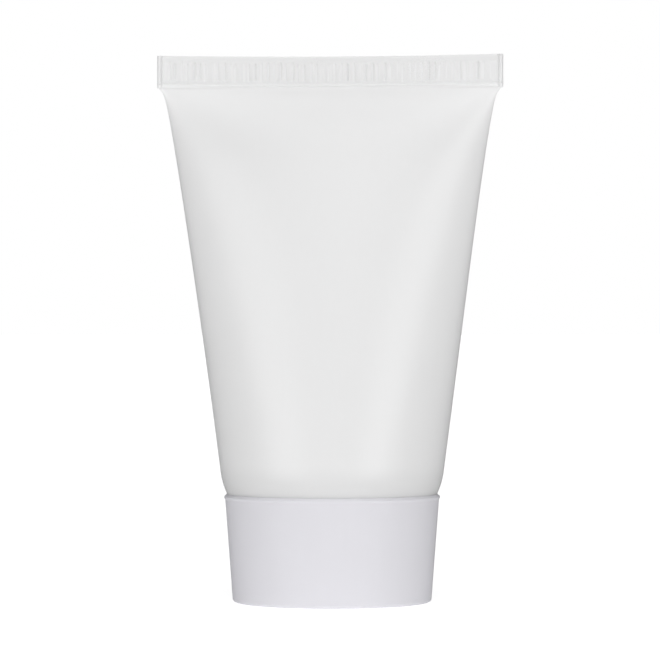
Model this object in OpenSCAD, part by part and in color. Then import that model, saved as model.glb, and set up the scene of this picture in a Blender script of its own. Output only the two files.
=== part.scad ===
// Squeeze tube of shaving cream that stands on its screw cap.
// Origin: centre of the cap's standing face. +Z runs up the tube to the crimped tail,
// X runs along the crimp, Y is the depth of the tube. All sizes are in millimetres.

/* [Sleeve] */
// Diameter of the round sleeve before its tail is pressed flat
sleeve_d = 35; // [30:0.5:40]
// Thickness of the sleeve's wall
sleeve_wall = 0.5; // [0.35:0.05:0.7]
// Height of the sleeve's lower edge, inside the cap's rim
sleeve_low_z = 15.4; // [15.2:0.1:15.6]
// Height at which the sleeve starts to round in over the shoulder
shoulder_z = 20.5; // [19.5:0.1:22]
// Radius of that rounding, seen from the side
shoulder_r = 11; // [10:0.5:14]

/* [Crimp] */
// Height of the line where the crimp starts
crimp_z = 81.7; // [75:0.1:90]
// Height of the crimped band
crimp_h = 4.8; // [4:0.1:6]
// Distance from one crimp rib to the next
rib_pitch = 0.98; // [0.8:0.02:1.6]
// Depth of the crimp's ribs
rib_depth = 0.16; // [0.08:0.02:0.24]
// Plain margin above the ribs
rib_margin = 0.85; // [0.5:0.05:1.5]

/* [Head] */
// Radius of the neck under its thread
neck_r = 6.6; // [6.3:0.1:6.6]
// Height of the neck's mouth, which points down into the cap
mouth_z = 3; // [2.9:0.1:3.4]
// Height at which the neck meets the shoulder cone
neck_top_z = 12.2; // [12:0.1:12.6]
// Thickness of the neck and shoulder walls
head_wall = 1.4; // [1:0.1:1.8]
// Radius of the orifice
orifice_r = 2.8; // [1.5:0.1:3.5]

/* [Thread] */
// Rise of the thread in one turn
thread_pitch = 3; // [2.8:0.1:3.2]
// Turns of each thread ridge
thread_turns = 2; // [1.5:0.25:2]
// Height of a ridge above its wall
thread_h = 0.85; // [0.6:0.05:0.85]
// Axial gap between the loaded flanks
thread_gap = 0.14; // [0.1:0.02:0.3]

/* [Cap] */
// Radius of the cap at its base, measured on the tapered wall
cap_base_r = 15.74; // [15.7:0.02:15.8]
// Radius of the tapered wall just under the rim bead
cap_rim_r = 16.94; // [16.92:0.02:16.96]
// Height of the cap
cap_h = 16.9; // [16.86:0.02:16.94]
// Radius of the rounded base edge
cap_edge_r = 0.6; // [0.4:0.1:1.2]
// Thickness of the cap's outer wall
cap_wall = 1.2; // [1:0.1:1.3]
// Depth of the recess inside the standing ring
recess_h = 0.6; // [0.3:0.1:0.8]
// Radius of the bore that takes the neck
socket_r = 7.65; // [7.6:0.05:7.8]
// Number of stiffening ribs inside the cap
cap_ribs = 4; // [4:4:8]

/* [Seal and filling] */
// Thickness of the soft liner in the cap
liner_h = 0.9; // [0.8:0.02:0.9]
// Thickness of the peel-off membrane
foil_h = 0.1; // [0.06:0.02:0.12]
// Height of the filling's top surface
fill_z = 74.5; // [50:0.5:76]

/* [Hidden] */

// Points round a sleeve section and round a turn of thread
ring_n = 48;
turn_n = 36;

// The tail pressed flat is half the sleeve's circumference wide, less a little for the folds.
fold_loss = 0.1;
crimp_w = PI * sleeve_d / 2 - fold_loss;
crimp_half_t = 0.46;
crimp_low_z = crimp_z - 0.3;
crimp_top_z = crimp_z + crimp_h;
// The welt is a bead of melted plastic along the crimp's lower edge.
welt_h = 0.45;
welt_t = 0.12;
welt_inset = 0.2;
rib_low_z = crimp_z + welt_h;
rib_top_z = crimp_top_z - rib_margin;
rib_proud = 0.04;
plain_end = 0.8;
rib_count = floor((crimp_w - 2 * plain_end) / rib_pitch);

// The sleeve widens in a straight line up to the crimp, with a slight sag and a flare at the top.
round_z = 19.5;
sag = 0.14;
flare_far = 0.6;
flare_near = 1.5;
flare_far_l = 5;
flare_near_l = 0.6;
// How far the crimp's ends stand out past the straight line and the wide flare
crimp_overhang = 0.75;
widening = (crimp_w / 2 - flare_far - crimp_overhang - sleeve_d / 2) / (crimp_z - round_z);
// Distance over which the section opens out below the crimp
open_l = 3.5;
// Half depths of the shut cavity and of the loft's top, which ends inside the crimped band
shut_half = 0.03;
loft_top_z = crimp_z + 0.9;
loft_top_half_w = crimp_w / 2 - 0.14;
loft_top_half_d = crimp_half_t - 0.03;
// Softness of the change from the round end to the flattening part
blend_k = 0.15;

// Clearance between welded or filled neighbours
weld_gap = 0.06;
fill_gap = 0.12;
skirt_low_z = sleeve_low_z + 0.05;
skirt_top_z = 18.2;
skirt_wall = 1;
bore_r = neck_r - head_wall;
mouth_plate = 1.2;
mouth_chamfer = 0.3;

ridge_root_half = 0.7;
ridge_crest_half = 0.3;
ridge_sunk = 0.15;
neck_thread_z = 4.3;
flank_run = ridge_root_half + ridge_crest_half - (ridge_root_half - ridge_crest_half)
          * (socket_r - neck_r - thread_h) / thread_h;
cap_thread_z = neck_thread_z + flank_run + thread_gap;

bead_r = 0.28;
bead_ring_r = 16.82;
bead_z = cap_h - bead_r;
tab_h = 0.08;
liner_gap = 0.02;
deck_z = mouth_z - foil_h - tab_h - liner_gap - liner_h;
ring_inner_r = 12.8;
socket_wall = 1.35;
socket_top_z = 11.5;
lip_low_z = 14.4;
rib_t = 0.9;
rib_z = 8;
socket_edge = 0.3;
liner_overhang = 0.2;
tab_r = neck_r - 1.5;

// Half width of a ruled sleeve section at height z, before the shoulder rounds in
function ruled_half_w(z) =
    let (d = max(0, crimp_z - z), t = max(0, (z - round_z) / (crimp_z - round_z)))
    sleeve_d / 2 + widening * (z - round_z) - sag * sin(180 * min(1, t))
    + flare_far * exp(-d / flare_far_l) + flare_near * exp(-d / flare_near_l);

// Half depth of an ellipse of half width a that keeps the round sleeve's circumference
function same_girth(a) =
    let (s = sleeve_d, p = 8 * a - 6 * s, q = 6 * a * a - 6 * s * a + s * s)
    (sqrt(max(0, p * p - 24 * q)) - p) / 12;

// Smaller of two values, with the corner between them rounded
function soft_min(a, b) = min(a, b) - blend_k * ln(1 + exp(-abs(a - b) / blend_k));

// How far the shoulder's rounding takes the wall in at height z
function round_in(z) =
    let (h = max(0, shoulder_z - z)) shoulder_r - sqrt(shoulder_r * shoulder_r - h * h);

function half_w(z) = min(loft_top_half_w, ruled_half_w(z)) - round_in(z);
function inner_half_w(z) = half_w(z) - sleeve_wall;
function inner_half_d(z) =
    let (open = 1 - exp(-max(0, crimp_z - z) / open_l), a = ruled_half_w(z))
    max(shut_half, (soft_min(a, same_girth(a)) - sleeve_wall) * open - round_in(z));
function half_d(z) = z > crimp_z ? loft_top_half_d : inner_half_d(z) + sleeve_wall;

// The shoulder cone runs from the neck to the foot of the skirt.
skirt_low_r = inner_half_w(skirt_low_z) - weld_gap;
skirt_inner_r = inner_half_w(skirt_top_z) - weld_gap - skirt_wall;
cone_rise = (skirt_low_z - neck_top_z) / (skirt_low_r - neck_r);

// An elliptical ring of points
function ring(a, b, z) = [for (i = [0 : ring_n - 1])
    [a * cos(360 * i / ring_n), b * sin(360 * i / ring_n), z]];
// Triangles between ring k and ring k + 1
function band(k, n) = [for (i = [0 : n - 1]) let (j = (i + 1) % n)
    each [[k * n + i, (k + 1) * n + j, k * n + j], [k * n + i, (k + 1) * n + i, (k + 1) * n + j]]];
// The same faces seen from their other side
function turned(faces) = [for (f = faces) [for (i = [len(f) - 1 : -1 : 0]) f[i]]];
function flat(list) = [for (part = list) each part];

// Heights of the sleeve's sections: close together where the outline bends
bend_step = 0.85;
body_steps = 8;
body_top_z = crimp_z - 6;
inner_levels = concat([for (z = [sleeve_low_z : bend_step : shoulder_z + 0.5]) z],
    [for (k = [1 : body_steps]) shoulder_z + (body_top_z - shoulder_z) * k / body_steps],
    [for (d = [4.2, 2.8, 1.8, 1, 0.4]) crimp_z - d]);
outer_levels = concat(inner_levels, [crimp_z, loft_top_z]);

// Closed shell through the outer rings up and the inner rings down
module sleeve_shell() {
    rings = concat([for (z = outer_levels) ring(half_w(z), half_d(z), z)],
        [for (k = [len(inner_levels) - 1 : -1 : 0])
            let (z = inner_levels[k]) ring(inner_half_w(z), inner_half_d(z), z)]);
    n_out = len(outer_levels);
    n_all = len(rings);
    walls = [for (k = [0 : n_all - 2]) if (k != n_out - 1) each band(k, ring_n)];
    top = [[for (i = [0 : ring_n - 1]) (n_out - 1) * ring_n + ring_n - 1 - i]];
    roof = [[for (i = [0 : ring_n - 1]) n_out * ring_n + i]];
    foot = [for (i = [0 : ring_n - 1]) let (j = (i + 1) % ring_n, m = (n_all - 1) * ring_n)
        each [[i, j, m + i], [j, m + j, m + i]]];
    polyhedron(flat(rings), concat(walls, top, roof, foot));
}

// Corrugated outline of the ribbed part of the crimp, of even thickness
module rib_outline() {
    half = rib_count * rib_pitch / 2;
    front = [for (i = [0 : 4 * rib_count])
        [i * rib_pitch / 4 - half, rib_depth / 2 * sin(90 * i)]];
    half_t = crimp_half_t + rib_proud;
    polygon(concat([for (p = front) [p[0], p[1] - half_t]],
        [for (i = [len(front) - 1 : -1 : 0]) [front[i][0], front[i][1] + half_t]]));
}

module crimp_band() {
    translate([-crimp_w / 2, -crimp_half_t, crimp_low_z])
        cube([crimp_w, 2 * crimp_half_t, crimp_top_z - crimp_low_z]);
    translate([-crimp_w / 2 + welt_inset, -crimp_half_t - welt_t, crimp_z])
        cube([crimp_w - 2 * welt_inset, 2 * (crimp_half_t + welt_t), welt_h]);
    rooted = 0.05;
    translate([0, 0, rib_low_z - rooted]) linear_extrude(rib_top_z - rib_low_z + rooted) rib_outline();
}

module tube_sleeve() {
    color("#ececea") union() {
        sleeve_shell();
        crimp_band();
    }
}

// Helical ridge of trapezoid section from wall_r to crest_r, faded in and out at its ends
module thread_ridge(wall_r, crest_r, start_z) {
    steps = thread_turns * turn_n;
    out = crest_r > wall_r ? 1 : -1;
    fade_from = 0.15;
    fade_steps = 5;
    function fade(k) = min(1, fade_from + min(k, steps - k) / fade_steps);
    rings = [for (k = [0 : steps])
        let (a = 360 * k / turn_n, z = start_z + thread_pitch * k / turn_n,
             sunk = wall_r - out * ridge_sunk, crest = wall_r + (crest_r - wall_r) * fade(k))
        [for (p = [[sunk, -ridge_root_half], [crest, -ridge_crest_half],
                   [crest, ridge_crest_half], [sunk, ridge_root_half]])
            [p[0] * cos(a), p[0] * sin(a), z + p[1]]]];
    sides = [for (k = [0 : steps - 1]) each band(k, 4)];
    ends = [[3, 2, 1, 0], [for (i = [0 : 3]) steps * 4 + i]];
    faces = concat(sides, ends);
    polyhedron(flat(rings), out > 0 ? turned(faces) : faces);
}

module tube_head() {
    skirt_steps = 4;
    skirt = [for (k = [0 : skirt_steps])
        let (z = skirt_low_z + (skirt_top_z - skirt_low_z) * k / skirt_steps)
        [inner_half_w(z) - weld_gap, z]];
    color("#f2f2ef") union() {
        rotate_extrude($fn = 96) polygon(concat(
            [[orifice_r, mouth_z], [neck_r - mouth_chamfer, mouth_z], [neck_r, mouth_z + mouth_chamfer],
             [neck_r, neck_top_z]],
            skirt,
            [[skirt_inner_r, skirt_top_z],
             [skirt_inner_r, neck_top_z + head_wall + cone_rise * (skirt_inner_r - neck_r)],
             [bore_r, neck_top_z + head_wall], [bore_r, mouth_z + mouth_plate],
             [orifice_r, mouth_z + mouth_plate]]));
        thread_ridge(neck_r, neck_r + thread_h, neck_thread_z);
    }
}

// Radius of the cap's outer wall at height z
function cap_r(z) = cap_base_r + (cap_rim_r - cap_base_r) * (z - cap_edge_r) / (bead_z - cap_edge_r);

module cap_profile() {
    lip_r = bead_ring_r - bead_r * 0.7;
    corner = 0.5;
    polygon(concat(
        [[0, recess_h], [ring_inner_r, recess_h], [ring_inner_r + recess_h / 2, 0]],
        [for (a = [-90 : 15 : 0])
            [cap_r(cap_edge_r) - cap_edge_r + cap_edge_r * cos(a), cap_edge_r + cap_edge_r * sin(a)]],
        [[cap_r(bead_z), bead_z], [lip_r, bead_z], [cap_r(lip_low_z) - cap_wall, lip_low_z],
         [cap_r(deck_z + corner) - cap_wall, deck_z + corner], [cap_r(deck_z) - cap_wall - corner, deck_z],
         [socket_r + socket_wall, deck_z], [socket_r + socket_wall, socket_top_z],
         [socket_r + socket_edge, socket_top_z], [socket_r, socket_top_z - socket_edge],
         [socket_r, deck_z], [0, deck_z]]));
}

module cap_shell() {
    rooted = 0.3;
    rib_in = socket_r + socket_wall - rooted;
    rib_out = cap_r(deck_z) - cap_wall + rooted;
    color("#dedde2") union() {
        rotate_extrude($fn = 128) cap_profile();
        rotate_extrude($fn = 128) translate([bead_ring_r, bead_z]) circle(bead_r, $fn = 32);
        for (i = [0 : cap_ribs - 1])
            rotate(45 + 360 * i / cap_ribs) translate([rib_in, -rib_t / 2, deck_z - rooted])
                cube([rib_out - rib_in, rib_t, rib_z - deck_z]);
        thread_ridge(socket_r, socket_r - thread_h, cap_thread_z);
    }
}

module cap_liner() {
    color("#f7f4ea") translate([0, 0, deck_z]) cylinder(h = liner_h, r = neck_r + liner_overhang, $fn = 96);
}

module foil_seal() {
    color("#c9c9cb") union() {
        translate([0, 0, mouth_z - foil_h]) cylinder(h = foil_h, r = neck_r - mouth_chamfer, $fn = 96);
        // The pull tab is folded flat under one half of the membrane.
        translate([0, 0, mouth_z - foil_h - tab_h]) intersection() {
            cylinder(h = tab_h + 0.01, r = tab_r, $fn = 96);
            translate([0, -neck_r, 0]) cube([neck_r, 2 * neck_r, tab_h + 0.01]);
        }
    }
}

// The filling shares the levels of the sleeve's inside, so their flat facets run side by side,
// and its top is cut level between the last of them and the next.
module shaving_cream() {
    g = weld_gap;
    low_z = skirt_top_z + 0.2;
    inside = [for (z = inner_levels) if (z > low_z && z < fill_z) z];
    levels = concat([fill_z], [for (k = [len(inside) - 1 : -1 : 0]) inside[k]]);
    under = max([for (z = inner_levels) if (z < fill_z) z]);
    over = min([for (z = inner_levels) if (z >= fill_z) z]);
    share = (fill_z - under) / (over - under);
    top_w = inner_half_w(under) + share * (inner_half_w(over) - inner_half_w(under));
    top_d = inner_half_d(under) + share * (inner_half_d(over) - inner_half_d(under));
    rings = [for (z = levels) z == fill_z ? ring(top_w - fill_gap, top_d - fill_gap, z)
        : ring(inner_half_w(z) - fill_gap, inner_half_d(z) - fill_gap, z)];
    last = len(levels) - 1;
    core_top_z = inside[0] + 0.4;
    inner_r = skirt_inner_r - g;
    cone_z = neck_top_z + head_wall + g;
    color("#fbfbf8") union() {
        polyhedron(flat(rings), concat(turned([for (k = [0 : last - 1]) each band(k, ring_n)]),
            [[for (i = [0 : ring_n - 1]) ring_n - 1 - i]],
            [[for (i = [0 : ring_n - 1]) last * ring_n + i]]));
        rotate_extrude($fn = 96) polygon([[0, mouth_z + g], [orifice_r - g, mouth_z + g],
            [orifice_r - g, mouth_z + mouth_plate + g], [bore_r - g, mouth_z + mouth_plate + g],
            [bore_r - g, cone_z], [inner_r, cone_z + cone_rise * (inner_r - neck_r)],
            [inner_r, core_top_z], [0, core_top_z]]);
    }
}

cap_shell();
cap_liner();
foil_seal();
tube_head();
tube_sleeve();
shaving_cream();
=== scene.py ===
import math
import bmesh
import bpy
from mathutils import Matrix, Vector


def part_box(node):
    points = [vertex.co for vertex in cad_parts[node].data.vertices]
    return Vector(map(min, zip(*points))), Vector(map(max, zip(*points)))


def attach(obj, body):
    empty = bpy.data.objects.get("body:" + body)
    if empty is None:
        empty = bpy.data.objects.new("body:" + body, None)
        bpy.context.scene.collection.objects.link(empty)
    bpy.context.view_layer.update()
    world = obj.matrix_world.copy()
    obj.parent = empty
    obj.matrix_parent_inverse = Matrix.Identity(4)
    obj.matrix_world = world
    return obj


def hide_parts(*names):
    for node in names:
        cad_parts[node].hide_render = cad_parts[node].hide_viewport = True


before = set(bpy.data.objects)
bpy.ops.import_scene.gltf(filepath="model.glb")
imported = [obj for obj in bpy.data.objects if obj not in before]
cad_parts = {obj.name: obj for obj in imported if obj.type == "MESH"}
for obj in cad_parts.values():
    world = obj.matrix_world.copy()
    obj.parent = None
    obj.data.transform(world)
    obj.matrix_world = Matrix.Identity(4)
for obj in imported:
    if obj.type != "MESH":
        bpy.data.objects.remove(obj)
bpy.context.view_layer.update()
mm = 0.001
print("frame loaded:", sorted(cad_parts))


class Wire:
    # a node's output that takes part in Python sums: every sum adds a Math node
    def __init__(self, tree, socket):
        self.tree = tree
        self.socket = socket

    def __add__(self, other):
        return self.tree.maths("ADD", self, other)

    def __radd__(self, other):
        return self.tree.maths("ADD", other, self)

    def __sub__(self, other):
        return self.tree.maths("SUBTRACT", self, other)

    def __rsub__(self, other):
        return self.tree.maths("SUBTRACT", other, self)

    def __mul__(self, other):
        return self.tree.maths("MULTIPLY", self, other)

    def __rmul__(self, other):
        return self.tree.maths("MULTIPLY", other, self)

    def __truediv__(self, other):
        return self.tree.maths("DIVIDE", self, other)

    def __rtruediv__(self, other):
        return self.tree.maths("DIVIDE", other, self)

    def __gt__(self, other):
        return self.tree.maths("GREATER_THAN", self, other)

    def __lt__(self, other):
        return self.tree.maths("LESS_THAN", self, other)

    def __pow__(self, other):
        return self.tree.maths("POWER", self, other)


class Tree:
    # adds nodes to one node tree; settings go in first, then the sockets' values or links
    def __init__(self, nodeTree):
        self.nodeTree = nodeTree

    def node(self, kind, settings=None, sockets=None, result=0):
        made = self.nodeTree.nodes.new(kind)
        for name, value in (settings or {}).items():
            setattr(made, name, value)
        for key, value in (sockets or {}).items():
            if isinstance(value, Wire):
                self.nodeTree.links.new(value.socket, made.inputs[key])
            else:
                made.inputs[key].default_value = value
        return Wire(self, made.outputs[result]) if made.outputs else None

    def maths(self, operation, *values):
        return self.node("ShaderNodeMath", {"operation": operation}, dict(enumerate(values)))

    def least(self, a, b):
        return self.maths("MINIMUM", a, b)

    def most(self, a, b):
        return self.maths("MAXIMUM", a, b)

    def limit(self, a):
        # kept between 0 and 1
        return self.least(self.most(a, 0.0), 1.0)

    def ease(self, a, start, end):
        # 0 before start, 1 after end, smooth between
        t = self.limit((a - start) / (end - start))
        return t * t * (3.0 - 2.0 * t)

    def choose(self, mask, a, b):
        # a where the mask is 0, b where it is 1
        return a + mask * (b - a)

    def vector(self, x, y, z):
        return self.node("ShaderNodeCombineXYZ", {}, {"X": x, "Y": y, "Z": z})

    def parts(self, vector):
        split = self.node("ShaderNodeSeparateXYZ", {}, {"Vector": vector}).socket.node
        return [Wire(self, split.outputs[axis]) for axis in "XYZ"]


def makeObject(name, mesh):
    made = bpy.data.objects.new(name, mesh)
    bpy.context.scene.collection.objects.link(made)
    return made


def nodeGroup(name, inputs):
    # a geometry tree with named inputs; the wires of the inputs come back in a dictionary
    group = bpy.data.node_groups.new(name, "GeometryNodeTree")
    group.interface.new_socket("Geometry", in_out="OUTPUT", socket_type="NodeSocketGeometry")
    for label, value in inputs.items():
        kind = "NodeSocketInt" if isinstance(value, int) else "NodeSocketFloat"
        group.interface.new_socket(label, in_out="INPUT", socket_type=kind)
    tree = Tree(group)
    start = group.nodes.new("NodeGroupInput")
    return tree, {label: Wire(tree, start.outputs[label]) for label in inputs}


def closeGroup(tree, geometry, material, weld=0.004 * mm):
    # ends a geometry tree: doubles merged, shaded smooth, made real and given its material
    welded = tree.node("GeometryNodeMergeByDistance", {}, {"Geometry": geometry, "Distance": weld})
    smooth = tree.node("GeometryNodeSetShadeSmooth", {}, {"Geometry": welded})
    real = tree.node("GeometryNodeRealizeInstances", {}, {"Geometry": smooth})
    finished = tree.node("GeometryNodeSetMaterial", {}, {"Geometry": real, "Material": material})
    tree.node("NodeGroupOutput", {}, {"Geometry": finished})


def growMesh(name, tree, inputs):
    # runs a geometry tree once and keeps its result as a plain mesh
    holder = makeObject(name, bpy.data.meshes.new(name))
    modifier = holder.modifiers.new(name, "NODES")
    modifier.node_group = tree.nodeTree
    for item in tree.nodeTree.interface.items_tree:
        if item.in_out == "INPUT":
            modifier[item.identifier] = inputs[item.name]
    evaluated = holder.evaluated_get(bpy.context.evaluated_depsgraph_get())
    mesh = bpy.data.meshes.new_from_object(evaluated)
    material = [m for m in mesh.materials if m][0]
    mesh.materials.clear()
    mesh.materials.append(material)
    mesh.polygons.foreach_set("material_index", [0] * len(mesh.polygons))
    holder.modifiers.clear()
    holder.data = mesh
    return holder


def joinPieces(name, pieces):
    # one object from several, keeping every face and its material
    joined = bmesh.new()
    materials = []
    for piece in pieces:
        firstFace = len(joined.faces)
        joined.from_mesh(piece.data)
        joined.faces.ensure_lookup_table()
        material = piece.data.materials[0]
        if material not in materials:
            materials.append(material)
        for face in joined.faces[firstFace:]:
            face.material_index = materials.index(material)
        bpy.data.objects.remove(piece)
    mesh = bpy.data.meshes.new(name)
    joined.to_mesh(mesh)
    joined.free()
    for material in materials:
        mesh.materials.append(material)
    return makeObject(name, mesh)


def arc(centreR, centreZ, radius, startDeg, endDeg, steps):
    # points of an arc in the (radius, height) plane
    turns = [math.radians(startDeg + (endDeg - startDeg) * k / steps) for k in range(steps + 1)]
    return [(centreR + radius * math.cos(t), centreZ + radius * math.sin(t)) for t in turns]


def lathe(name, outline, material, steps=192, closed=False):
    # turns an outline in millimetres round the Z axis; points on the axis become one vertex
    shape = bmesh.new()
    rings = []
    for r, z in outline:
        if r < 1e-6:
            rings.append([shape.verts.new((0.0, 0.0, z * mm))] * steps)
        else:
            turns = [2 * math.pi * k / steps for k in range(steps)]
            points = [(r * mm * math.cos(t), r * mm * math.sin(t), z * mm) for t in turns]
            rings.append([shape.verts.new(point) for point in points])
    pairs = list(zip(rings, rings[1:]))
    if closed:
        pairs.append((rings[-1], rings[0]))
    for low, high in pairs:
        for k in range(steps):
            following = (k + 1) % steps
            corners = [low[k], low[following], high[following], high[k]]
            corners = [v for i, v in enumerate(corners) if v not in corners[:i]]
            if len(corners) > 2:
                shape.faces.new(corners)
    bmesh.ops.remove_doubles(shape, verts=shape.verts, dist=0.001 * mm)
    bmesh.ops.recalc_face_normals(shape, faces=shape.faces)
    for face in shape.faces:
        face.smooth = True
    mesh = bpy.data.meshes.new(name)
    shape.to_mesh(mesh)
    shape.free()
    mesh.materials.append(material)
    return makeObject(name, mesh)


def keepEdges(piece, degrees=35):
    # smooth shading that still breaks at real edges
    shape = bmesh.new()
    shape.from_mesh(piece.data)
    for edge in shape.edges:
        edge.smooth = len(edge.link_faces) == 2 and edge.calc_face_angle(0.0) < math.radians(degrees)
    shape.to_mesh(piece.data)
    shape.free()


def place(piece, body, node):
    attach(piece, body)
    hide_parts(node)
    print("made", piece.name, len(piece.data.polygons), "faces")


def newMaterial(name, roughness, specular, extras=None):
    # a material whose patterns are laid out in millimetres on the piece's own coordinates
    material = bpy.data.materials.new(name)
    material.use_nodes = True
    tree = Tree(material.node_tree)
    shader = material.node_tree.nodes["Principled BSDF"]
    shader.inputs["Roughness"].default_value = roughness
    shader.inputs["Specular IOR Level"].default_value = specular
    for key, value in (extras or {}).items():
        shader.inputs[key].default_value = value
    onPiece = tree.node("ShaderNodeTexCoord", {}, {}, "Object")
    where = tree.node("ShaderNodeVectorMath", {"operation": "SCALE"}, {0: onPiece, "Scale": 1.0 / mm})
    return material, tree, shader, where


def feed(tree, shader, **wires):
    # links each wire to the shader's socket of the same name
    for key, wire in wires.items():
        tree.nodeTree.links.new(wire.socket, shader.inputs[key.replace("_", " ")])


def grain(tree, where, scale, detail, roughness=0.5, stretch=None):
    # fractal noise, with its scale as features to the millimetre
    if stretch:
        where = tree.node("ShaderNodeVectorMath", {"operation": "MULTIPLY"}, {0: where, 1: stretch})
    return tree.node("ShaderNodeTexNoise", {},
                     {"Vector": where, "Scale": scale, "Detail": detail, "Roughness": roughness})


def tint(tree, colour, shade):
    # a colour made lighter or darker by a value near 1
    return tree.node("ShaderNodeVectorMath", {"operation": "SCALE"}, {0: colour, "Scale": shade})


def bump(tree, height):
    # height in millimetres
    return tree.node("ShaderNodeBump", {}, {"Strength": 1.0, "Distance": mm, "Height": height})


sleeveFinish = {
    "colour": (0.790, 0.790, 0.791),
    "roughness": 0.34,
    "specular": 0.5,
    # patterns: scale, detail and roughness, then how far they are stretched
    "cloud": (0.11, 3.0),
    "streak": (1.0, 2.0),
    "streakStretch": (1.6, 1.6, 0.035),
    "peel": (2.2, 3.0),
    "speck": (7.0, 1.0),
    "scuff": (0.5, 4.0, 0.65),
    "scuffRange": (0.58, 0.72),
    "mottle": 0.018,       # how much the white varies over the sleeve
    "streakShare": 0.6,    # the drawn streaks' part of it
    "cloudRough": 0.08,
    "speckRough": 0.06,
    "rubbedRough": 0.12,
    "crimpPolish": 0.05,
    # heights of the surface texture, mm
    "peelHeight": 0.010,
    "streakHeight": 0.006,
    "speckHeight": 0.002,
    "scuffDepth": 0.002,
    "rubbed": (26.0, 18.0),  # the foot is scuffed from the first height down to the second
    "crimpShade": 0.93,      # the crimp is darkened, mostly to take back the painted tail light over it
    "footPaintedShade": 0.88,       # painted shade: the foot, where the sleeve wraps over the shoulder, is darkened towards the cap's rim
    "foot": (22.5, 17.2),
    "tailPaintedLight": 1.08,       # painted light: the tail, where the walls lie back to back, is lightened towards the crimp
    "tail": (70.5, 82.5),
}


def sleevePlastic():
    f = sleeveFinish
    material, tree, shader, where = newMaterial("sleevePlastic", f["roughness"], f["specular"])
    z = tree.parts(where)[2]
    cloud = grain(tree, where, *f["cloud"])
    streak = grain(tree, where, *f["streak"], stretch=f["streakStretch"])
    peel = grain(tree, where, *f["peel"])
    speck = grain(tree, where, *f["speck"])
    inCrimp = tree.ease(z, sleeve["crimpZ"] - 0.2, sleeve["crimpZ"] + 0.5)
    shade = 1.0 + (cloud - 0.5) * f["mottle"] + (streak - 0.5) * f["mottle"] * f["streakShare"]
    shade = shade * (1.0 - inCrimp * (1.0 - f["crimpShade"]))
    # painted shade: darker towards the cap's rim
    shade = shade * (1.0 - tree.ease(z, *f["foot"]) * (1.0 - f["footPaintedShade"]))
    # painted light: lighter towards the crimp
    shade = shade * (1.0 + tree.ease(z, *f["tail"]) * (f["tailPaintedLight"] - 1.0))
    scuff = tree.ease(grain(tree, where, *f["scuff"]), *f["scuffRange"])
    rubbed = scuff * tree.ease(z, *f["rubbed"])
    rough = (f["roughness"] + (cloud - 0.5) * f["cloudRough"] + (speck - 0.5) * f["speckRough"]
             + rubbed * f["rubbedRough"] - inCrimp * f["crimpPolish"])
    height = (peel * f["peelHeight"] + streak * f["streakHeight"] + speck * f["speckHeight"]
              - scuff * f["scuffDepth"])
    feed(tree, shader, Base_Color=tint(tree, f["colour"], shade), Roughness=rough,
         Normal=bump(tree, height))
    return material


capFinish = {
    "colour": (0.717, 0.710, 0.747),
    "roughness": 0.44,
    "specular": 0.45,
    "cloud": (0.16, 3.0),
    "flow": (0.7, 3.0),
    "flowStretch": (1.0, 1.0, 0.12),
    "satin": (5.0, 3.0, 0.6),
    "scuff": (1.4, 5.0, 0.7),
    "scuffStretch": (1.0, 1.0, 3.0),
    "scuffRange": (0.5, 0.66),
    "mottle": 0.02,
    "flowMottle": 0.015,
    "cloudRough": 0.08,
    "satinRough": 0.10,
    "scuffRough": 0.2,
    "scuffShade": 0.05,
    # heights of the surface texture, mm
    "satinHeight": 0.006,
    "flowHeight": 0.003,
    "scuffDepth": 0.006,
    "wearZ": 1.3,      # the base edge is scuffed up to this height
    "lipPaintedLight": 1.10,  # painted light: the thin lip is lightened against the shade where it meets the sleeve
    "lip": (16.55, 16.9),
}


def capPlastic():
    f = capFinish
    material, tree, shader, where = newMaterial("capPlastic", f["roughness"], f["specular"])
    z = tree.parts(where)[2]
    cloud = grain(tree, where, *f["cloud"])
    flow = grain(tree, where, *f["flow"], stretch=f["flowStretch"])
    satin = grain(tree, where, *f["satin"])
    low = tree.ease(z, f["wearZ"], 0.0)
    worn = grain(tree, where, *f["scuff"], stretch=f["scuffStretch"])
    scuff = tree.ease(worn, *f["scuffRange"]) * low
    shade = (1.0 + (cloud - 0.5) * f["mottle"] + (flow - 0.5) * f["flowMottle"]
             - scuff * f["scuffShade"])
    # painted light: lighter at the rim's lip
    shade = shade * (1.0 + tree.ease(z, *f["lip"]) * (f["lipPaintedLight"] - 1.0))
    rough = (f["roughness"] + (cloud - 0.5) * f["cloudRough"] + (satin - 0.5) * f["satinRough"]
             + scuff * f["scuffRough"])
    height = satin * f["satinHeight"] + flow * f["flowHeight"] - scuff * f["scuffDepth"]
    feed(tree, shader, Base_Color=tint(tree, f["colour"], shade), Roughness=rough,
         Normal=bump(tree, height))
    return material


headFinish = {
    "colour": (0.86, 0.86, 0.84),
    "roughness": 0.4,
    "specular": 0.5,
    "cloud": (0.3, 3.0),
    "flow": (1.2, 3.0),
    "flowStretch": (1.0, 1.0, 0.3),
    "fine": (6.0, 2.0),
    "cloudShade": 0.03,
    "flowShade": 0.02,
    "cloudRough": 0.12,
    "fineRough": 0.08,
    "fineHeight": 0.004,
    "flowHeight": 0.004,
}


def headPlastic():
    f = headFinish
    material, tree, shader, where = newMaterial("headPlastic", f["roughness"], f["specular"])
    cloud = grain(tree, where, *f["cloud"])
    flow = grain(tree, where, *f["flow"], stretch=f["flowStretch"])
    fine = grain(tree, where, *f["fine"])
    shade = 0.99 + (cloud - 0.5) * f["cloudShade"] + (flow - 0.5) * f["flowShade"]
    rough = f["roughness"] + (cloud - 0.5) * f["cloudRough"] + (fine - 0.5) * f["fineRough"]
    height = fine * f["fineHeight"] + flow * f["flowHeight"]
    feed(tree, shader, Base_Color=tint(tree, f["colour"], shade), Roughness=rough,
         Normal=bump(tree, height))
    return material


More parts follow.
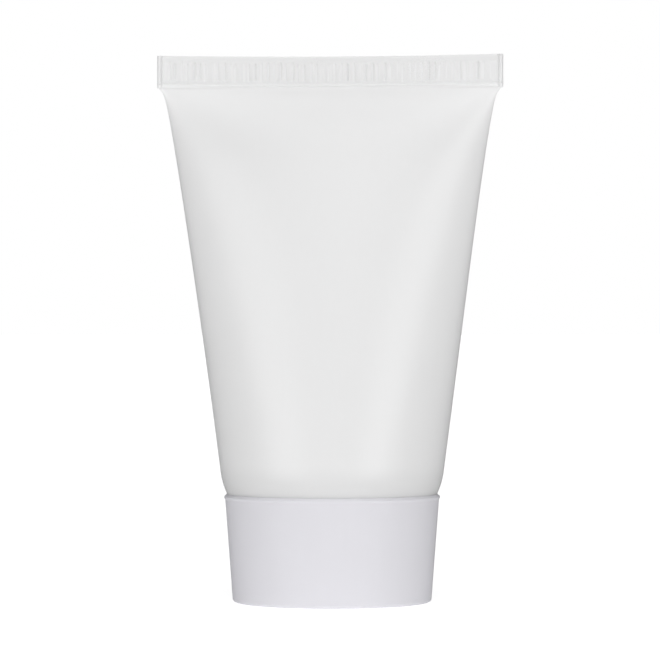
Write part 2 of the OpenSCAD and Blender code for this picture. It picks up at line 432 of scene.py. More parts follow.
linerFinish = {
    "colour": (0.90, 0.885, 0.83),
    "roughness": 0.78,
    "specular": 0.35,
    "cells": 3.2,       # cells of the foam in a millimetre
    "cloud": (0.5, 3.0),
    "cellHeight": 0.03,
    "cellShade": 0.05,
    "cloudShade": 0.05,
    "cloudRough": 0.1,
}


def linerFoam():
    f = linerFinish
    material, tree, shader, where = newMaterial("linerFoam", f["roughness"], f["specular"])
    cells = tree.node("ShaderNodeTexVoronoi", {"feature": "F1"}, {"Vector": where, "Scale": f["cells"]})
    cloud = grain(tree, where, *f["cloud"])
    shade = 0.97 + (cloud - 0.5) * f["cloudShade"] + cells * f["cellShade"]
    rough = f["roughness"] + (cloud - 0.5) * f["cloudRough"]
    feed(tree, shader, Base_Color=tint(tree, f["colour"], shade), Roughness=rough,
         Normal=bump(tree, cells * f["cellHeight"]))
    return material


foilFinish = {
    "colour": (0.83, 0.83, 0.84),
    "roughness": 0.27,
    "specular": 0.5,
    "rolled": (3.0, 3.0),
    "rolledStretch": (0.06, 4.0, 1.0),
    "crease": (0.9, 4.0, 0.6),
    "rolledShade": 0.10,
    "rolledRough": 0.12,
    "rolledHeight": 0.008,
    "creaseRough": 0.12,
    "creaseHeight": 0.06,
}


def sealFoil():
    f = foilFinish
    material, tree, shader, where = newMaterial("sealFoil", f["roughness"], f["specular"],
                                                {"Metallic": 1.0})
    rolled = grain(tree, where, *f["rolled"], stretch=f["rolledStretch"])
    crease = grain(tree, where, *f["crease"])
    shade = 0.97 + (rolled - 0.5) * f["rolledShade"]
    rough = f["roughness"] + (rolled - 0.5) * f["rolledRough"] + (crease - 0.5) * f["creaseRough"]
    height = crease * f["creaseHeight"] + rolled * f["rolledHeight"]
    feed(tree, shader, Base_Color=tint(tree, f["colour"], shade), Roughness=rough,
         Normal=bump(tree, height))
    return material


creamFinish = {
    "colour": (0.93, 0.93, 0.91),
    "roughness": 0.32,
    "specular": 0.5,
    "wetness": 0.15,
    "swirl": (0.35, 4.0, 0.55),
    "pores": (4.0, 2.0),
    "swirlShade": 0.04,
    "swirlRough": 0.15,
    "swirlHeight": 0.15,
    "poreHeight": 0.01,
}


def denseCream():
    f = creamFinish
    material, tree, shader, where = newMaterial("denseCream", f["roughness"], f["specular"],
                                                {"Coat Weight": f["wetness"]})
    swirl = grain(tree, where, *f["swirl"])
    pores = grain(tree, where, *f["pores"])
    shade = 0.99 + (swirl - 0.5) * f["swirlShade"]
    rough = f["roughness"] + (swirl - 0.5) * f["swirlRough"]
    height = swirl * f["swirlHeight"] + pores * f["poreHeight"]
    feed(tree, shader, Base_Color=tint(tree, f["colour"], shade), Roughness=rough,
         Normal=bump(tree, height))
    return material


sleeve = {
    # sizes in millimetres
    "diameter": 35.0,
    "wall": 0.5,
    "lowZ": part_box("tube_sleeve")[0].z / mm,
    "topZ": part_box("tube_sleeve")[1].z / mm,
    "crimpHeight": 4.8,
    "shoulderZ": 20.5,
    "shoulderRadius": 11.0,
    "roundZ": 19.5,
    "tailInset": 1.35,      # the straight side would reach the crimp this far in from its end
    "sag": 0.14,
    "farFlare": 0.6,        # the side flares out to the crimp's end, slowly and then sharply
    "farFlareLength": 5.0,
    "nearFlare": 1.5,
    "nearFlareLength": 0.6,
    "roundBlend": 0.6,
    "endInset": 0.14,
    "leastHalf": 0.05,      # half the gap left between the walls where they are pressed together
    "openLength": 3.5,
    "shutDepth": 0.42,
    "wallPast": 0.9,        # the outer wall runs up into the crimp, the inside stops below it
    "innerShort": 0.1,
    "bow": 0.28,            # how much lower the crimp's middle hangs than its ends
    "bowLength": 26.0,
    "lean": 0.40,           # how far the soft tail leans to its left
    "leanFrom": 24.0,
    "leanPast": 4.0,
    "around": 160,
    "rings": 96,
    "ringCrowding": 0.80,   # rings lie closer together at both ends
    "weld": 0.0015,
}
sleeve["crimpZ"] = sleeve["topZ"] - sleeve["crimpHeight"]
sleeve["crimpWidth"] = (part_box("tube_sleeve")[1].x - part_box("tube_sleeve")[0].x) / mm


def sectionInputs():
    s = sleeve
    return {"Diameter": s["diameter"] * mm, "Wall": s["wall"] * mm, "Low height": s["lowZ"] * mm,
            "Crimp height": s["crimpZ"] * mm, "Crimp width": s["crimpWidth"] * mm,
            "Round height": s["roundZ"] * mm, "Sag": s["sag"] * mm,
            "Open length": s["openLength"] * mm, "Shoulder height": s["shoulderZ"] * mm,
            "Shoulder radius": s["shoulderRadius"] * mm, "Bow": s["bow"] * mm,
            "Lean": s["lean"] * mm}


def sectionLaw(tree, p, z):
    # half width and half depth of the sleeve's inside at height z: an ellipse that keeps the
    # round sleeve's girth while its tail is pressed flat, and a rounded shoulder below
    s = sleeve
    below = tree.most(p["Crimp height"] - z, 0.0)
    along = tree.limit((z - p["Round height"]) / (p["Crimp height"] - p["Round height"]))
    farFlare = tree.maths("EXPONENT", -1.0 * below / (s["farFlareLength"] * mm))
    nearFlare = tree.maths("EXPONENT", -1.0 * below / (s["nearFlareLength"] * mm))
    flare = s["farFlare"] * mm * farFlare + s["nearFlare"] * mm * nearFlare
    slope = ((p["Crimp width"] / 2.0 - s["tailInset"] * mm - p["Diameter"] / 2.0)
             / (p["Crimp height"] - p["Round height"]))
    ruled = (p["Diameter"] / 2.0 + slope * (z - p["Round height"])
             - p["Sag"] * tree.maths("SINE", math.pi * along) + flare)
    # the depth that solves the approximate girth of an ellipse, a quadratic in the depth
    shift = 8.0 * ruled - 6.0 * p["Diameter"]
    square = (6.0 * ruled * ruled - 6.0 * p["Diameter"] * ruled + p["Diameter"] * p["Diameter"])
    root = tree.maths("SQRT", tree.most(shift * shift - 24.0 * square, 0.0))
    girthDepth = (root - shift) / 12.0
    depth = tree.maths("SMOOTH_MIN", ruled, girthDepth, s["roundBlend"] * mm)
    opened = 1.0 - tree.maths("EXPONENT", -1.0 * below / p["Open length"])
    drop = tree.most(p["Shoulder height"] - z, 0.0)
    roundIn = (p["Shoulder radius"]
               - tree.maths("SQRT", p["Shoulder radius"] * p["Shoulder radius"] - drop * drop))
    halfWidth = tree.least(ruled, p["Crimp width"] / 2.0 - s["endInset"] * mm) - roundIn - p["Wall"]
    halfDepth = tree.most((depth - p["Wall"]) * opened - roundIn, s["leastHalf"] * mm)
    return halfWidth, halfDepth


def shoulderRadius(z):
    # outside radius of the round part of the sleeve at height z
    s = sleeve
    slope = (s["crimpWidth"] / 2 - s["tailInset"] - s["diameter"] / 2) / (s["crimpZ"] - s["roundZ"])
    drop = max(0.0, s["shoulderZ"] - z)
    return (s["diameter"] / 2 + slope * (z - s["roundZ"])
            - s["shoulderRadius"] + math.sqrt(s["shoulderRadius"] ** 2 - drop ** 2))


def bowed(tree, p, x, z):
    # the crimp hangs a little in the middle, and the wall below follows it
    out = x / (p["Crimp width"] / 2.0)
    share = tree.ease(z, p["Crimp height"] - sleeve["bowLength"] * mm, p["Crimp height"])
    return z - p["Bow"] * share * (1.0 - out * out)


def leaned(tree, p, x, z):
    high = p["Crimp height"] + sleeve["leanPast"] * mm
    return x - p["Lean"] * tree.ease(z, sleeve["leanFrom"] * mm, high)


def gridPlaces(tree, countX, countY):
    # a grid whose vertices know their two whole-number places
    grid = tree.node("GeometryNodeMeshGrid", {}, {"Size X": 1.0, "Size Y": 1.0,
                                                  "Vertices X": countX, "Vertices Y": countY})
    x, y = tree.parts(tree.node("GeometryNodeInputPosition"))[:2]
    columns = tree.maths("ROUND", (x + 0.5) * (countX - 1.0))
    rows = tree.maths("ROUND", (y + 0.5) * (countY - 1.0))
    return grid, columns, rows


def movedTo(tree, grid, x, y, z):
    return tree.node("GeometryNodeSetPosition", {}, {"Geometry": grid, "Position": tree.vector(x, y, z)})


def sleeveBody(material):
    # one closed wall: up the outside, over at the crimp, and down the inside
    s = sleeve
    inputs = {**sectionInputs(), "Around": s["around"], "Rings": s["rings"]}
    tree, p = nodeGroup("sleeveWall", inputs)
    n = p["Rings"]
    grid, ring, turn = gridPlaces(tree, 2.0 * n + 3.0, p["Around"] + 1.0)
    inside = (ring > n + 0.5) * (ring < 2.0 * n + 1.5)
    along = tree.choose(ring > n + 0.5, ring / n, tree.limit((2.0 * n + 1.0 - ring) / n))
    eased = along - s["ringCrowding"] / (2 * math.pi) * tree.maths("SINE", 2 * math.pi * along)
    top = p["Crimp height"] + tree.choose(inside, s["wallPast"] * mm, -s["innerShort"] * mm)
    z = p["Low height"] + (top - p["Low height"]) * eased
    halfWidth, halfDepth = sectionLaw(tree, p, z)
    wall = p["Wall"] * (1.0 - inside)
    # above the crimp's foot the wall is no thicker than the pressed band; below it 1 m is no limit
    deepest = tree.choose(z > p["Crimp height"], 1.0, s["shutDepth"] * mm)
    angle = -2 * math.pi * turn / p["Around"]
    x = (halfWidth + wall) * tree.maths("COSINE", angle)
    y = tree.least(halfDepth + wall, deepest) * tree.maths("SINE", angle)
    shaped = movedTo(tree, grid, leaned(tree, p, x, z), y, bowed(tree, p, x, z))
    closeGroup(tree, shaped, material, s["weld"] * mm)
    return growMesh("sleeveWall", tree, inputs)


crimp = {
    # sizes in millimetres
    "thickness": 0.96,
    "overlap": 0.35,         # how far the band reaches down over the sleeve
    "ribPitch": 0.98,
    "ribDepth": 0.22,
    "ribMargin": 0.85,
    "ribSharpness": 5.0,
    "ribSink": 0.3,          # share of a rib's depth that lies below the band's face
    "ribWander": 0.3,        # share of the pitch that a rib may stray
    "ribDepthShares": (0.45, 0.8),
    "ribFootGap": 0.1,
    "ribFootStray": 0.25,
    "ribTopStray": 0.35,
    "ribEase": 0.3,
    "ribEndMargin": (1.0, 1.25),
    "weltHeight": 0.45,
    "weltDepth": 0.26,
    "weltMiddle": 0.45,      # shares of the welt's height
    "weltHalf": 0.52,
    "grooveInset": 0.72,     # the jaws' edge marks a groove this far in from each end
    "grooveDepth": 0.24,
    "grooveHalf": 0.24,
    "endBead": 0.04,
    "endBeadEase": 0.2,
    "endRound": 0.38,
    "endLeast": 0.25,        # share of the thickness left at the very end
    "topThinning": 0.22,     # share of the thickness lost at the cut edge
    "topEase": 0.22,
    "stepsPerRib": 10,
    "rings": 48,
    "ringCrowding": 1.5,
    "seed": 7,
    "secondDraw": 91.5,      # apart from the seed, so the two draws differ
}


def crimpBand(material):
    # the two walls pressed together between ribbed jaws
    c = crimp
    inputs = {**sectionInputs(), "Band height": sleeve["crimpHeight"] * mm,
              "Thickness": c["thickness"] * mm, "Rib pitch": c["ribPitch"] * mm,
              "Rib depth": c["ribDepth"] * mm, "Rib margin": c["ribMargin"] * mm,
              "Welt": c["weltHeight"] * mm, "Groove inset": c["grooveInset"] * mm,
              "Groove depth": c["grooveDepth"] * mm,
              "Columns": int(sleeve["crimpWidth"] / c["ribPitch"] * c["stepsPerRib"]),
              "Rings": c["rings"], "Seed": c["seed"]}
    tree, p = nodeGroup("crimpBand", inputs)
    m = p["Columns"]
    n = p["Rings"]
    grid, ring, column = gridPlaces(tree, n + 2.0, 2.0 * m + 3.0)
    back = (column > m + 0.5) * (column < 2.0 * m + 1.5)
    share = tree.choose(column > m + 0.5, column / m, tree.limit((2.0 * m + 1.0 - column) / m))
    x = (share - 0.5) * p["Crimp width"]
    low = p["Crimp height"] - c["overlap"] * mm
    top = p["Crimp height"] + p["Band height"]
    # rings lie closer together towards the welt
    z = low + (top - low) * tree.limit((ring - 1.0) / (n - 1.0)) ** c["ringCrowding"]
    shut = (ring > 0.5) * (ring < n + 0.5)
    # one rib in each pitch, every one a little different in depth and in length
    cell = tree.maths("FLOOR", x / p["Rib pitch"] + 0.5)
    chance = tree.node("ShaderNodeTexWhiteNoise", {"noise_dimensions": "1D"}, {"W": cell + p["Seed"]})
    chance2 = tree.node("ShaderNodeTexWhiteNoise", {"noise_dimensions": "1D"},
                        {"W": cell + p["Seed"] + c["secondDraw"]})
    within = x / p["Rib pitch"] + 0.5 - cell
    crest = tree.maths("SINE", math.pi * tree.limit(within + c["ribWander"] * (chance - 0.5)))
    ribLow = p["Crimp height"] + p["Welt"] + c["ribFootGap"] * mm + c["ribFootStray"] * mm * chance2
    ribTop = top - p["Rib margin"] - c["ribTopStray"] * mm * chance
    ribEase = c["ribEase"] * mm
    ribbed = tree.ease(z, ribLow, ribLow + ribEase) * (1.0 - tree.ease(z, ribTop - ribEase, ribTop))
    edge = p["Crimp width"] / 2.0 - tree.maths("ABSOLUTE", x)
    marginLow, marginHigh = c["ribEndMargin"]
    ribbed = ribbed * tree.ease(edge, marginLow * mm, marginHigh * mm)
    depthLeast, depthMore = c["ribDepthShares"]
    depth = p["Rib depth"] * (depthLeast + depthMore * chance2)
    wave = (crest ** c["ribSharpness"] - c["ribSink"]) * depth * ribbed
    # welt along the bottom, bead down each end, and softened cut edges
    inWelt = tree.limit(1.0 - tree.maths("ABSOLUTE", z - p["Crimp height"] - p["Welt"] * c["weltMiddle"])
                        / (p["Welt"] * c["weltHalf"]))
    welt = c["weltDepth"] * mm * tree.maths("SQRT", inWelt)
    inGroove = tree.limit(1.0 - tree.maths("ABSOLUTE", edge - p["Groove inset"]) / (c["grooveHalf"] * mm))
    beadEnd = p["Groove inset"] - c["endBeadEase"] * mm
    bead = (c["endBead"] * mm * tree.ease(edge, p["Groove inset"], beadEnd)
            - p["Groove depth"] * inGroove * inGroove * (3.0 - 2.0 * inGroove))
    fromEnd = 1.0 - tree.limit(edge / (c["endRound"] * mm))
    endRound = tree.maths("SQRT", tree.limit(1.0 - fromEnd ** 2.0))
    topRound = 1.0 - c["topThinning"] + c["topThinning"] * tree.ease(top - z, 0.0, c["topEase"] * mm)
    half = (p["Thickness"] / 2.0 + welt + bead) * tree.most(endRound, c["endLeast"]) * topRound
    y = shut * (tree.choose(back, -1.0, 1.0) * half + wave)
    shaped = movedTo(tree, grid, leaned(tree, p, x, z), y, bowed(tree, p, x, z))
    flipped = tree.node("GeometryNodeFlipFaces", {}, {"Mesh": shaped})
    closeGroup(tree, flipped, material)
    return growMesh("crimpBand", tree, inputs)


def buildSleeve():
    material = sleevePlastic()
    piece = joinPieces("tubeSleeve", [sleeveBody(material), crimpBand(material)])
    keepEdges(piece, 50)
    place(piece, "tube", "tube_sleeve")


thread = {
    # sizes in millimetres
    "pitch": 3.0,
    "turns": 2.0,
    "height": 0.85,
    "rootHalf": 0.70,
    "crestHalf": 0.30,
    "rooted": 0.15,      # how deep the ridge's foot is sunk in its wall
    "fadeTurns": 0.12,
    "fadeLeast": 0.02,
    "neckRadius": 6.6,
    "neckStartZ": 4.3,
    "socketRadius": 7.65,
    "capStartZ": 5.346,
    "stepsPerTurn": 72,
    "across": 14,
}


def threadRidge(name, wallRadius, outward, startZ, material):
    # a ridge that climbs its wall as a helix and fades out at both ends
    t = thread
    inputs = {"Wall radius": wallRadius * mm, "Outward": float(outward), "Start height": startZ * mm,
              "Pitch": t["pitch"] * mm, "Turns": t["turns"], "Ridge height": t["height"] * mm,
              "Root half": t["rootHalf"] * mm, "Crest half": t["crestHalf"] * mm,
              "Steps": int(t["stepsPerTurn"] * t["turns"])}
    tree, p = nodeGroup(name, inputs)
    across = t["across"]
    grid, step, point = gridPlaces(tree, p["Steps"] + 1.0, across + 2)
    share = step / p["Steps"]
    faded = tree.limit(tree.least(share, 1.0 - share) * p["Turns"] / t["fadeTurns"])
    faded = tree.maths("SQRT", faded)
    # the first and the last two points of each section lie under the wall, and the last
    # falls on the first, which closes the section
    axial = tree.limit((point - 1.0) / (across - 2.0)) * 2.0 - 1.0
    sunk = tree.most(point < 0.5, point > across - 0.5)
    offset = axial * p["Root half"] * tree.choose(point > across + 0.5, 1.0, -1.0)
    size = tree.maths("ABSOLUTE", offset)
    flank = 1.0 - tree.ease(size, p["Crest half"], p["Root half"])
    radial = tree.choose(sunk, p["Ridge height"] * flank * faded, -t["rooted"] * mm)
    turn = 2 * math.pi * share * p["Turns"]
    radius = p["Wall radius"] + p["Outward"] * radial
    x = radius * tree.maths("COSINE", turn)
    y = radius * tree.maths("SINE", turn)
    z = p["Start height"] + p["Pitch"] * share * p["Turns"] + offset * tree.most(faded, t["fadeLeast"])
    closeGroup(tree, movedTo(tree, grid, x, y, z), material)
    made = growMesh(name, tree, inputs)
    closeEnds(made)
    return made


def closeEnds(piece):
    shape = bmesh.new()
    shape.from_mesh(piece.data)
    bmesh.ops.remove_doubles(shape, verts=shape.verts, dist=0.002 * mm)
    bmesh.ops.holes_fill(shape, edges=[e for e in shape.edges if e.is_boundary])
    bmesh.ops.recalc_face_normals(shape, faces=shape.faces)
    for face in shape.faces:
        face.smooth = True
    shape.to_mesh(piece.data)
    shape.free()


cap = {
    # sizes in millimetres
    "baseRadius": 15.74,
    "rimRadius": 16.94,
    "rimDepth": 0.28,        # the wall has its rim radius this far below the top
    "height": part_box("cap_shell")[1].z / mm,
    "edgeRadius": 0.6,
    "wall": 1.2,
    "wallHeights": (2.0, 5.0, 8.0, 11.0, 14.0, 15.6, 16.1),
    "innerHeights": (14.2, 11.0, 7.0, 4.0),
    # radius and height of the moulding gate's mark under the base
    "gateMark": [(0.0, 0.44), (0.5, 0.44), (0.62, 0.5), (0.66, 0.56), (1.1, 0.68), (1.6, 0.66)],
    "gateRadius": 1.9,
    "recess": 0.6,
    "recessRound": 0.3,
    "ringInner": 12.8,
    "ringWidth": 0.42,       # from the recess to the middle of the standing ring's inner edge
    "ringRound": 0.2,
    "beadRadius": 0.325,
    "beadRing": 16.75,
    "lipTop": 17.07,
    "lipGap": 0.035,
    "lipLow": 14.4,
    "deckZ": 1.9,
    "deckRound": 0.6,
    "socketWall": 1.35,
    "socketTop": 11.5,
    "socketFoot": 0.4,
    "socketRound": 0.3,
    "socketStepZ": 6.0,
    "seatRound": 0.15,
    "ribs": 4,
    "ribThickness": 0.9,
    "ribTop": 8.0,
    "ribOverlap": 0.3,       # how far each rib runs into the walls beside it
    "ribSink": 0.2,
}


def capWallRadius(z):
    c = cap
    share = (z - c["edgeRadius"]) / (c["height"] - c["rimDepth"] - c["edgeRadius"])
    return c["baseRadius"] + (c["rimRadius"] - c["baseRadius"]) * share


def capOutline():
    c = cap
    beadZ = c["height"] - c["beadRadius"]
    edge = c["edgeRadius"]
    deckZ = c["deckZ"]
    outline = list(c["gateMark"])
    outline += [(c["gateRadius"], c["recess"]), (c["ringInner"] - 0.4, c["recess"])]
    turnIn = c["recessRound"]
    outline += arc(c["ringInner"] - turnIn, c["recess"] - turnIn, turnIn, 90, 15, 4)[1:]
    outline += arc(c["ringInner"] + c["ringWidth"], c["ringRound"], c["ringRound"], 195, 270, 4)
    outline += arc(capWallRadius(edge) - edge, edge, edge, -90, 0, 12)
    outline += [(capWallRadius(z), z) for z in c["wallHeights"]]
    outline += arc(c["beadRing"], beadZ, c["beadRadius"], -52, 48, 16)
    # the rim slopes up to a thin lip that ends just short of the sleeve
    lip = [(shoulderRadius(z) + c["lipGap"], z) for z in (c["lipTop"] - 0.02, c["height"], beadZ - 0.1)]
    outline += [(lip[0][0] + 0.03, c["lipTop"])] + lip
    lipFoot = capWallRadius(c["lipLow"]) - c["wall"] + 0.05
    outline += [(c["beadRing"] - 0.42, beadZ - 0.5), (lipFoot, c["lipLow"] + 0.1)]
    outline += [(capWallRadius(z) - c["wall"], z) for z in c["innerHeights"]]
    inner = capWallRadius(deckZ) - c["wall"] - c["deckRound"]
    outline += arc(inner, deckZ + c["deckRound"], c["deckRound"], 0, -90, 6)
    socket = thread["socketRadius"]
    socketOut = socket + c["socketWall"]
    foot = c["socketFoot"]
    outline += arc(socketOut + foot, deckZ + foot, foot, 270, 180, 5)
    outline += [(socketOut, c["socketStepZ"])]
    top = c["socketTop"] - c["socketRound"]
    outline += arc(socketOut - c["socketRound"], top, c["socketRound"], 0, 90, 5)
    outline += arc(socket + c["socketRound"], top, c["socketRound"], 90, 180, 5)
    outline += [(socket, c["socketStepZ"]), (socket, deckZ + c["seatRound"]),
                (socket - c["seatRound"], deckZ), (0.0, deckZ)]
    return outline


def capRibs(material):
    c = cap
    inner = thread["socketRadius"] + c["socketWall"] - c["ribOverlap"]
    outer = capWallRadius(c["deckZ"]) - c["wall"] + c["ribOverlap"]
    inputs = {"Ribs": c["ribs"], "Length": (outer - inner) * mm, "Middle radius": (inner + outer) / 2 * mm,
              "Thickness": c["ribThickness"] * mm, "Low height": (c["deckZ"] - c["ribSink"]) * mm,
              "Height": (c["ribTop"] - c["deckZ"]) * mm}
    tree, p = nodeGroup("capRibs", inputs)
    blade = tree.node("GeometryNodeMeshCube", {}, {
        "Size": tree.vector(p["Length"], p["Thickness"], p["Height"]),
        "Vertices X": 2, "Vertices Y": 2, "Vertices Z": 2})
    spots = tree.node("GeometryNodeMeshCircle", {}, {"Vertices": p["Ribs"], "Radius": 1.0})
    number = tree.node("GeometryNodeInputIndex")
    angle = 2 * math.pi * (number + 0.5) / p["Ribs"]
    placed = movedTo(tree, spots, p["Middle radius"] * tree.maths("COSINE", angle),
                     p["Middle radius"] * tree.maths("SINE", angle), p["Low height"] + p["Height"] / 2.0)
    blades = tree.node("GeometryNodeInstanceOnPoints", {}, {
        "Points": placed, "Instance": blade, "Rotation": tree.vector(0.0, 0.0, angle)})
    real = tree.node("GeometryNodeRealizeInstances", {}, {"Geometry": blades})
    finished = tree.node("GeometryNodeSetMaterial", {}, {"Geometry": real, "Material": material})
    tree.node("NodeGroupOutput", {}, {"Geometry": finished})
    return growMesh("capRibs", tree, inputs)


def buildCap():
    material = capPlastic()
    shell = lathe("capShell", capOutline(), material)
    ribs = capRibs(material)
    ridge = threadRidge("capThread", thread["socketRadius"], -1, thread["capStartZ"], material)
    piece = joinPieces("capShell", [shell, ribs, ridge])
    keepEdges(piece)
    place(piece, "cap", "cap_shell")


head = {
    # sizes in millimetres
    "mouthZ": 3.0,
    "neckTopZ": 12.2,
    "wall": 1.4,
    "orifice": 2.8,
    "orificeRound": 0.25,
    "edge": 0.3,
    "neckFoot": 0.6,
    "skirtGap": 0.08,
    "skirtTop": 18.2,
    "skirtWall": 1.0,
    "mouthPlate": 1.2,
}


def headOutline():
    h = head
    neck = thread["neckRadius"]
    lowZ = sleeve["lowZ"] + 0.05
    skirt = [(shoulderRadius(z) - sleeve["wall"] - h["skirtGap"], z)
             for z in (lowZ + (h["skirtTop"] - lowZ) * k / 6 for k in range(7))]
    edgeR = skirt[0][0]
    rise = (lowZ - h["neckTopZ"]) / (edgeR - neck)
    innerR = skirt[-1][0] - h["skirtWall"]
    mouth = h["orificeRound"]
    foot = h["neckFoot"]
    outline = arc(h["orifice"] + mouth, h["mouthZ"] + mouth, mouth, 180, 270, 5)
    outline += arc(neck - h["edge"], h["mouthZ"] + h["edge"], h["edge"], -90, 0, 6)
    outline += [(neck, 7.0), (neck, h["neckTopZ"] - foot)]
    outline += arc(neck + foot, h["neckTopZ"] - 0.5, foot, 180, 109, 5)
    for k in (1, 2, 3):
        out = (edgeR - neck) * k / 4
        outline.append((neck + out, h["neckTopZ"] + rise * out))
    outline += skirt
    outline += [(innerR, h["skirtTop"]), (innerR, h["neckTopZ"] + h["wall"] + rise * (innerR - neck)),
                (neck - h["wall"], h["neckTopZ"] + h["wall"]),
                (neck - h["wall"], h["mouthZ"] + h["mouthPlate"]),
                (h["orifice"], h["mouthZ"] + h["mouthPlate"])]
    return outline


def buildHead():
    material = headPlastic()
    body = lathe("tubeHead", headOutline(), material, closed=True)
    ridge = threadRidge("neckThread", thread["neckRadius"], 1, thread["neckStartZ"], material)
    piece = joinPieces("tubeHead", [body, ridge])
    keepEdges(piece)
    place(piece, "tube", "tube_head")


liner = {
    # sizes in millimetres
    "lowEdge": 0.12,
    "topEdge": 0.18,
    "markInset": 0.9,     # the neck's mouth leaves a shallow ring in the foam
    "markHalf": 0.6,
    "markDepth": 0.06,
    "markShoulder": 0.75,
    "middle": 2.0,
    "around": 128,
}


def buildLiner():
    f = liner
    low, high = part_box("cap_liner")
    radius = high.x / mm
    lowZ = low.z / mm
    topZ = high.z / mm
    mark = thread["neckRadius"] - f["markInset"]
    outline = [(0.0, lowZ)]
    outline += arc(radius - f["lowEdge"], lowZ + f["lowEdge"], f["lowEdge"], -90, 0, 4)
    outline += arc(radius - f["topEdge"], topZ - f["topEdge"], f["topEdge"], 0, 90, 4)
    outline += [(mark + f["markShoulder"], topZ)]
    outline += [(mark + f["markHalf"] * math.cos(a), topZ - f["markDepth"] * math.sin(a)) for a in
                (math.pi * k / 8 for k in range(9))]
    outline += [(mark - f["markShoulder"], topZ), (f["middle"], topZ), (0.0, topZ)]
    piece = lathe("capLiner", outline, linerFoam(), f["around"])
    keepEdges(piece)
    place(piece, "liner", "cap_liner")


seal = {
    # sizes in millimetres
    "thickness": 0.1,
    "dish": 0.02,          # the foil dips this much where nothing is under it
    "dishInset": 0.4,
    "landing": 0.8,
    "weldRing": 1.0,       # the ring pressed in by the sealing tool
    "weldEnd": 1.2,
    "edge": 0.05,
    "tabRadius": 5.0,
    "tabPoints": 33,
    "tabOverlap": 0.004,
    "around": 96,
}


def foilTab(tabZ, under, material):
    # the half-round tab folded back against the disc
    f = seal
    shape = bmesh.new()
    last = f["tabPoints"] - 1
    rings = []
    for z in (tabZ, under + f["tabOverlap"]):
        turns = [math.pi * (k / last - 0.5) for k in range(f["tabPoints"])]
        points = [(f["tabRadius"] * math.cos(a), f["tabRadius"] * math.sin(a)) for a in turns]
        rings.append([shape.verts.new((px * mm, py * mm, z * mm)) for px, py in points])
    low, high = rings
    shape.faces.new(reversed(low))
    shape.faces.new(high)
    for k in range(f["tabPoints"]):
        following = (k + 1) % f["tabPoints"]
        shape.faces.new([low[k], low[following], high[following], high[k]])
    bmesh.ops.recalc_face_normals(shape, faces=shape.faces)
    mesh = bpy.data.meshes.new("foilTab")
    shape.to_mesh(mesh)
    shape.free()
    mesh.materials.append(material)
    return makeObject("foilTab", mesh)


def buildSeal():
    f = seal
    low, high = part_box("foil_seal")
    radius = high.y / mm
    topZ = high.z / mm
    material = sealFoil()
    under = topZ - f["thickness"]
    dished = under + f["dish"]
    inner = head["orifice"]
    outline = [(0.0, dished), (inner - f["dishInset"], dished), (inner, under)]
    outline += [(inner + f["landing"], under), (inner + f["weldRing"], dished)]
    outline += [(inner + f["weldEnd"], under), (radius - f["edge"] * 2, under)]
    outline += arc(radius - f["edge"], topZ - f["edge"], f["edge"], -90, 90, 4)
    outline += [(0.0, topZ)]
    disc = lathe("foilDisc", outline, material, f["around"])
    piece = joinPieces("foilSeal", [disc, foilTab(low.z / mm, under, material)])
    keepEdges(piece)
    place(piece, "tube", "foil_seal")


cream = {
    # sizes in millimetres
    "wallGap": 0.12,
    "boreGap": 0.08,
    "plateGap": 0.06,
    "skirtInset": 1.16,
    "coneSlope": 0.37,
    "around": 96,
    "rings": 120,
}


def buildCream():
    # fills the sleeve below its headspace, the shoulder and the neck
    c = cream
    material = denseCream()
    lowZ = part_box("shaving_cream")[0].z / mm
    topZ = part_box("shaving_cream")[1].z / mm
    inputs = {**sectionInputs(), "Around": c["around"], "Rings": c["rings"],
              "Fill low": lowZ * mm, "Fill high": topZ * mm,
              "Neck bore": (thread["neckRadius"] - head["wall"] - c["boreGap"]) * mm,
              "Orifice": (head["orifice"] - c["boreGap"]) * mm,
              "Plate top": (head["mouthZ"] + head["mouthPlate"] + c["plateGap"]) * mm,
              "Cone low": (head["neckTopZ"] + head["wall"] + c["plateGap"]) * mm,
              "Skirt radius": (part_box("tube_head")[1].x / mm - c["skirtInset"]) * mm,
              "Skirt top": (head["skirtTop"] + c["plateGap"]) * mm}
    tree, p = nodeGroup("creamFill", inputs)
    grid, ring, turn = gridPlaces(tree, p["Rings"] + 1.0, p["Around"] + 1.0)
    along = tree.limit((ring - 1.0) / (p["Rings"] - 2.0))
    z = p["Fill low"] + (p["Fill high"] - p["Fill low"]) * along
    spread = (ring > 0.5) * (ring < p["Rings"] - 0.5)  # 0 at the two poles
    halfWidth, halfDepth = sectionLaw(tree, p, z)
    cone = p["Neck bore"] + tree.most(z - p["Cone low"], 0.0) / c["coneSlope"]
    low = tree.choose(z > p["Plate top"], p["Orifice"], tree.least(cone, p["Skirt radius"]))
    wide = tree.choose(z > p["Skirt top"], low, halfWidth - c["wallGap"] * mm)
    deep = tree.choose(z > p["Skirt top"], low, halfDepth - c["wallGap"] * mm)
    angle = -2 * math.pi * turn / p["Around"]
    x = spread * wide * tree.maths("COSINE", angle)
    y = spread * deep * tree.maths("SINE", angle)
    closeGroup(tree, movedTo(tree, grid, leaned(tree, p, x, z), y, z), material)
    piece = growMesh("shavingCream", tree, inputs)
    place(piece, "tube", "shaving_cream")


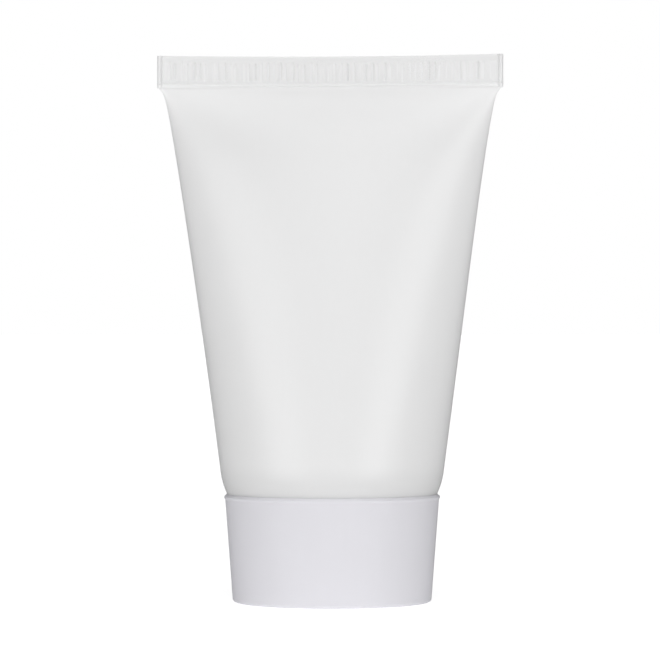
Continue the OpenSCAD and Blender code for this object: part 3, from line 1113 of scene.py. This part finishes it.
studio = {
    # sizes in metres, apart from the floor's; angles in degrees
    "azimuth": 4.5,        # towards the object's right side
    "distance": 0.570,
    "height": 0.04297,
    "lens": 196.5,
    "sensor": 36.0,
    "sideways": -0.00034,  # places the tube a touch right of the middle
    "floorRings": (400.0, 2500.0, 30000.0),  # radii, mm
    "floorColour": (0.86, 0.86, 0.86),
    "floorRoughness": 0.9,
    "floorSpecular": 0.1,
    "floorCloud": (0.01, 2.0),
    "floorMottle": 0.01,
    "floorGlow": 0.62,
    "world": 0.004,
    # azimuth, elevation and angular size, then strength
    "suns": {
        "leftFill": (-38.0, 10.0, 34.0, 0.54),
        "farLeftFill": (-56.0, 4.0, 24.0, 0.20),
        "rightFill": (49.0, 10.0, 34.0, 0.73),
        "front": (4.5, 38.0, 40.0, 0.54),
        "top": (4.5, 80.0, 60.0, 1.22),
    },
}
white = (1.0, 1.0, 1.0, 1.0)


def floorPaint():
    s = studio
    material, tree, shader, where = newMaterial("floorPaint", s["floorRoughness"], s["floorSpecular"], {
        "Emission Strength": s["floorGlow"], "Emission Color": white})
    cloud = grain(tree, where, *s["floorCloud"])
    shade = 1.0 + (cloud - 0.5) * s["floorMottle"]
    feed(tree, shader, Base_Color=tint(tree, s["floorColour"], shade))
    return material


def buildStage():
    outline = [(0.0, 0.0)] + [(radius, 0.0) for radius in studio["floorRings"]]
    floor = lathe("floor", outline, floorPaint(), 64)
    floor.visible_glossy = False  # keeps the gloss on the sleeve's sides dark


def aim(thing, target):
    thing.rotation_euler = (Vector(target) - thing.location).to_track_quat("-Z", "Y").to_euler()


def softSun(name, azimuth, elevation, angle, strength):
    light = bpy.data.lights.new(name, "SUN")
    light.angle = math.radians(angle)
    light.energy = strength
    made = bpy.data.objects.new(name, light)
    bpy.context.scene.collection.objects.link(made)
    a = math.radians(azimuth)
    e = math.radians(elevation)
    made.location = (math.sin(a) * math.cos(e), -math.cos(a) * math.cos(e), math.sin(e))
    aim(made, (0.0, 0.0, 0.0))


def buildLights():
    s = studio
    world = bpy.data.worlds.new("studioAir")
    bpy.context.scene.world = world
    world.use_nodes = True
    tree = Tree(world.node_tree)
    world.node_tree.nodes.clear()
    # a white background that hardly lights the object
    seen = tree.node("ShaderNodeLightPath", {}, {}, "Is Camera Ray")
    glow = tree.node("ShaderNodeBackground", {}, {"Color": white,
                                                  "Strength": tree.choose(seen, s["world"], 1.0)})
    tree.node("ShaderNodeOutputWorld", {}, {"Surface": glow})
    for name, (azimuth, elevation, angle, strength) in s["suns"].items():
        softSun(name, azimuth, elevation, angle, strength)


def buildCamera():
    s = studio
    a = math.radians(s["azimuth"])
    right = Vector((math.cos(a), math.sin(a), 0.0))
    view = bpy.data.cameras.new("mainCamera")
    view.lens = s["lens"]
    view.sensor_width = s["sensor"]
    view.clip_start = 0.01
    view.clip_end = 100.0
    made = bpy.data.objects.new("mainCamera", view)
    bpy.context.scene.collection.objects.link(made)
    centre = Vector((0.0, 0.0, s["height"])) + right * s["sideways"]
    made.location = centre + Vector((math.sin(a), -math.cos(a), 0.0)) * s["distance"]
    aim(made, centre)
    bpy.context.scene.camera = made


buildCamera()
buildStage()
buildLights()
bpy.context.scene.view_settings.view_transform = "Standard"
print("studio ready")
buildSleeve()
buildCap()
buildHead()
buildLiner()
buildSeal()
buildCream()
